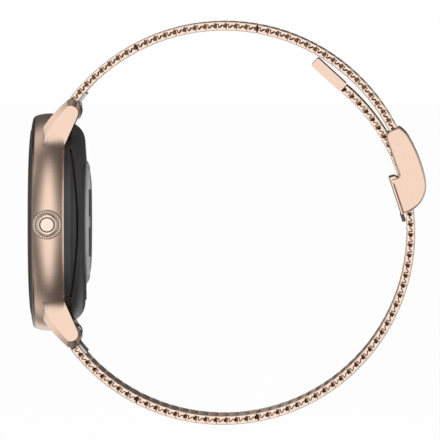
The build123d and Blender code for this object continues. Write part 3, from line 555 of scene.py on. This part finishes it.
def plate(side, flip, outline, holes, front, depth, bevel):
    """Flat plate at one edge of the band, from an outline and holes in (along, out) millimetres."""
    bm = bmesh.new()
    for loop in [outline] + holes:
        made = [bm.verts.new((side * front, y, flip * z)) for y, z in loop]
        for a, b in zip(made, made[1:] + made[:1]):
            bm.edges.new((a, b))
    bmesh.ops.triangle_fill(bm, edges=bm.edges[:], use_beauty=True, use_dissolve=False)
    grown = bmesh.ops.extrude_face_region(bm, geom=bm.faces[:])
    moved = [g for g in grown["geom"] if isinstance(g, bmesh.types.BMVert)]
    bmesh.ops.translate(bm, vec=(-side * depth, 0, 0), verts=moved)
    if bevel:
        on_rim = {v for v in bm.verts if abs(abs(v.co.x) - front) < TOUCHING
                  and abs(v.co.z) > HALF_THICKNESS - RIM_DEPTH}
        rim = [e for e in bm.edges if all(v in on_rim for v in e.verts)]
        bmesh.ops.bevel(bm, geom=rim, offset=bevel, segments=2, affect="EDGES", profile=0.5)
    bmesh.ops.recalc_face_normals(bm, faces=bm.faces)
    return bm


def edge_plates(side, flip, eye):
    """The flush-cut ends of one row: two interlocking plates, a sunken plate behind them and a deeper sheet,
    both standing for the inner wires and painted dark as shade by the wire finish.
    """
    outer = [(-0.91, 0.80), (0.77, 0.80), (0.78, 0.45), (0.60, 0.32), (0.50, 0.26),
             (0.20 - eye, 0.26 + eye), (-0.20 - eye, -0.15 + eye), (-0.29, -0.14), (-0.33, 0.42),
             (-0.44, 0.47), (-0.80, 0.47), (-0.91, 0.52)]
    inner = [(-0.79, -0.80), (0.97, -0.80), (1.00, -0.36), (0.62, -0.29), (0.47, -0.22), (0.44, 0.07),
             (0.24 + eye, 0.07 - eye), (-0.16 + eye, -0.31 - eye), (-0.50, -0.31), (-0.53, 0.34),
             (-0.62, 0.34), (-0.69, -0.22), (-0.79, -0.34)]
    if eye > WIDE_EYE:
        hole = [(-0.28, -0.24), (-0.08, -0.24), (0.30, 0.14), (0.28, 0.22), (0.08, 0.20)]
    else:
        hole = [(0.52, -0.26), (0.82, -0.26), (0.93, 0.42), (0.72, 0.42)]
    span = [(-0.95, -0.78), (0.95, -0.78), (0.95, 0.78), (-0.95, 0.78)]
    return [plate(side, flip, outer, [], HALF_WIDTH, PLATE_THICKNESS, PLATE_BEVEL),
            plate(side, flip, inner, [], HALF_WIDTH, PLATE_THICKNESS, PLATE_BEVEL),
            plate(side, flip, span, [hole], HALF_WIDTH - RECESS_DEPTH, RECESS_THICKNESS, 0),
            plate(side, flip, span, [], HALF_WIDTH - CORE_DEPTH, CORE_THICKNESS, 0)]


def woven_row(shift, lean, eye):
    """One row as a mesh: its wire and the plates at both edges."""
    bm = wire_row(shift, lean)
    for side in (-1, 1):
        for part in edge_plates(side, math.copysign(1, lean), eye):
            scratch = bpy.data.meshes.new("scratch")
            part.to_mesh(scratch)
            bm.from_mesh(scratch)
            part.free()
    mesh = bpy.data.meshes.new("row")
    bm.to_mesh(mesh)
    bm.free()
    return mesh


def weave(name, node, body, strap, start, end, rows):
    """Rows of one stretch, laid on its arc from the start angle to the end angle."""
    centre, radius, lean, eye, material = strap
    kinds = [woven_row(shift, lean, eye) for shift in (0, WIRE_PITCH / 2)]
    laid = [kinds[row % 2] for row in range(rows)]
    total = bmesh.new()
    for row_mesh in laid:
        total.from_mesh(row_mesh)
    mesh = bpy.data.meshes.new(name)
    total.to_mesh(mesh)
    total.free()
    points = np.zeros(len(mesh.vertices) * 3)
    mesh.vertices.foreach_get("co", points)
    points = points.reshape(-1, 3)
    row_of = np.repeat(np.arange(rows), [len(row_mesh.vertices) for row_mesh in laid])
    direction = math.copysign(1, end - start)
    trim = direction * STRETCH_GAP / 2 / radius
    first = math.radians(start) + trim
    last = math.radians(end) - trim
    step = (last - first) / rows
    angle = first + step * (row_of + 0.5 + points[:, 1] / ROW_PITCH)
    reach = radius + points[:, 2]
    placed = np.stack([points[:, 0],
                       centre[0] + reach * np.cos(angle),
                       centre[1] + reach * np.sin(angle)], axis=1) * MM
    mesh.vertices.foreach_set("co", placed.ravel())
    if direction < 0:
        mesh.flip_normals()
    mesh.shade_smooth()
    mesh.set_sharp_from_angle(angle=SHARP_ANGLE)
    made = piece(name, mesh, material, body)
    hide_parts(node)


UPPER_STRAP = (UPPER_CENTRE, UPPER_RADIUS, WIRE_LEAN, UPPER_EYE, upper_wire)
LOWER_STRAP = (LOWER_CENTRE, LOWER_RADIUS, -WIRE_LEAN, LOWER_EYE, lower_wire)
UPPER_STRETCHES = (("root", 117.5, 8), ("middle", 80.0, 12), ("end", 26.9, 17))
LOWER_STRETCHES = (("root", -117.25, 8), ("middle", -79.4, 12), ("tail", 50.0, 41))
for side, strap, start, stretches in (("upper", UPPER_STRAP, LUG_ANGLE, UPPER_STRETCHES),
                                      ("lower", LOWER_STRAP, -LUG_ANGLE, LOWER_STRETCHES)):
    for part, end, rows in stretches:
        weave(f"{side}_weave_{part}", f"{side}_mesh_{part}", f"{side}_{part}", strap, start, end, rows)
        start = end

# ------------------------------------------------------------------ floor
OPENED_STRAP = 0.040
FLOOR_Z = CAD_BOX[0].z - OPENED_STRAP
FLOOR_HALF_SIZE = 6
FLOOR_GLOW = 0.95

floor_mesh = bpy.data.meshes.new("floor")
floor_bm = bmesh.new()
bmesh.ops.create_grid(floor_bm, x_segments=2, y_segments=2, size=FLOOR_HALF_SIZE)
floor_bm.to_mesh(floor_mesh)
floor_bm.free()
floor = bpy.data.objects.new("floor", floor_mesh)
floor.location = (0, 0, FLOOR_Z)
bpy.context.scene.collection.objects.link(floor)
pale = finish("pale_floor")
straight_view = pale.node("ShaderNodeLightPath", output="Is Camera Ray")
paper = pale.node("ShaderNodeBsdfDiffuse", {}, {"Color": (0.92, 0.92, 0.92, 1)})
glow = pale.node("ShaderNodeEmission", {}, {"Color": (1, 1, 1, 1), "Strength": 1.0})
mixed = pale.node("ShaderNodeMixShader", {}, {0: straight_view * FLOOR_GLOW, 1: paper, 2: glow})
pale.node("ShaderNodeOutputMaterial", {}, {"Surface": mixed})
floor_mesh.materials.append(pale.holder)
floor.visible_glossy = False

# ------------------------------------------------------------------ soft light panels round the studio
ROUND, FLAT = 2.0, 4.0
WALLS = 0.09
AMBIENT = 0.7

world = bpy.data.worlds.new("studio")
bpy.context.scene.world = world
room = Finish(world)
dx, dy, dz = room.axes(room.node("ShaderNodeTexCoord", output="Generated"))


def panel(distance, width, power=ROUND):
    """1 in the middle of a light panel, fading to 0 at about the width."""
    fade = (abs(distance) / width) ** power * -1.0
    return fade.maths("EXPONENT", fade)


narrowing = 1.0 - abs(dz) * 0.55
crown_side = panel(dy / narrowing, 0.44) * panel(dz, 0.95, FLAT) * dx.above(0.35, 0.5) * 1.35
crown_side = crown_side.maths("MINIMUM", crown_side, 1.0)
far_side = panel(dy, 0.6) * panel(dz + 0.42, 0.24, FLAT) * (-1.0 * dx).above(0.35, 0.5) * 0.85
front_and_back = panel(dx, 0.55, FLAT) * panel(dz, 0.60, FLAT) * abs(dy).above(0.72, 0.15) * 0.75
over_and_under = panel(dx + 0.30, 0.35) * panel(abs(dz) - 0.90, 0.18) * panel(dy + 0.35, 0.35) * 0.65
front_corners = panel(abs(dz) - 0.65, 0.22) * panel(dy + 0.72, 0.22) * panel(dx - 0.20, 0.22)
studio = WALLS + crown_side + far_side + front_and_back + over_and_under + front_corners
camera_ray = room.node("ShaderNodeLightPath", output="Is Camera Ray")
glossy_ray = room.node("ShaderNodeLightPath", output="Is Glossy Ray")
clear_ray = room.node("ShaderNodeLightPath", output="Is Transmission Ray")
seen = camera_ray.maths("MAXIMUM", camera_ray, clear_ray)
level = seen + (1.0 - seen) * (glossy_ray * studio + (1.0 - glossy_ray) * AMBIENT)
shade = room.node("ShaderNodeBackground", {}, {"Color": (1, 1, 1, 1), "Strength": level})
room.node("ShaderNodeOutputWorld", {}, {"Surface": shade})

# ------------------------------------------------------------------ lamps
LAMP_SIZE = 0.6
for name, place, energy in (("key", (0.75, -0.25, 0.55), 3.2),
                            ("fill", (0.6, 0.6, 0.2), 1.6),
                            ("rear", (-0.7, 0.3, 0.5), 2.0)):
    lamp_data = bpy.data.lights.new(name, "AREA")
    lamp_data.size = LAMP_SIZE
    lamp_data.energy = energy
    lamp = bpy.data.objects.new(name, lamp_data)
    lamp.location = place
    lamp.rotation_mode = "QUATERNION"
    lamp.rotation_quaternion = (AIM - Vector(place)).to_track_quat("-Z", "Y")
    lamp.visible_glossy = False
    bpy.context.scene.collection.objects.link(lamp)

bpy.context.scene.view_settings.view_transform = "Standard"
